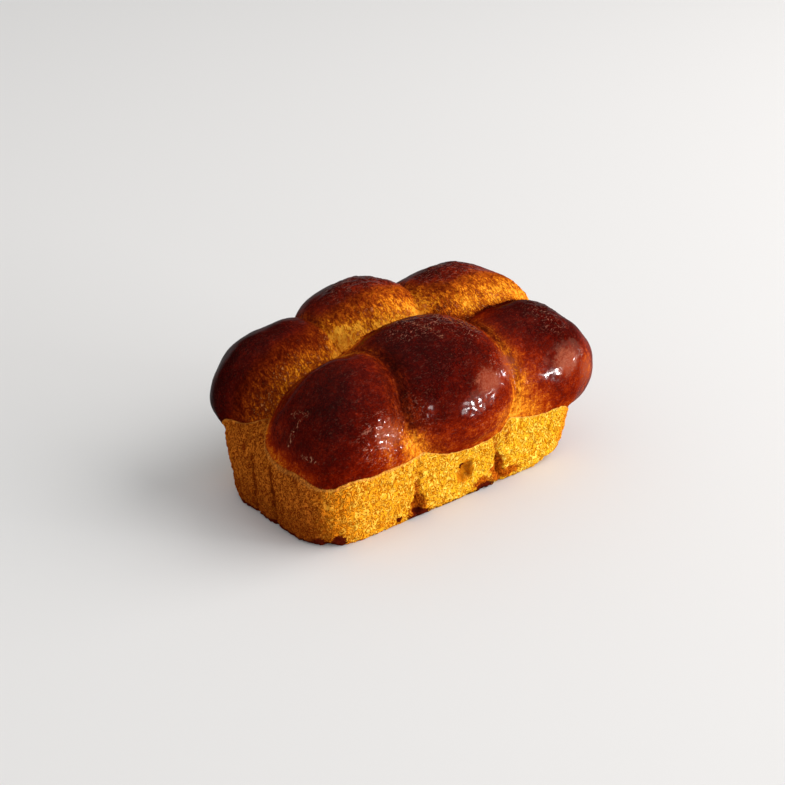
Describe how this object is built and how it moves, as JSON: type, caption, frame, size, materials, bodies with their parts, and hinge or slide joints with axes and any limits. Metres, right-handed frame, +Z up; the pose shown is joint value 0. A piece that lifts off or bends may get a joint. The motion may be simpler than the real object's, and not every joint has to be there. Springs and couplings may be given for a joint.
{
  "type": "brioche loaf",
  "caption": "Small pull-apart brioche loaf: glossy brown dough domes fused in rows over golden, tin-moulded walls and a flat base.",
  "frame": {"origin": "middle of the loaf's footprint, on the surface that its flat base rests on", "axes": "+Z up, X along the loaf, -Y towards the long side that the picture shows"},
  "size_m": [0.1588, 0.1008, 0.0769],
  "materials": {
    "crust": "baked egg-washed crust, glossy on the domes and matt on the golden walls"
  },
  "bodies": {
    "root": {"loaf": "crust"}
  },
  "joints": []
}
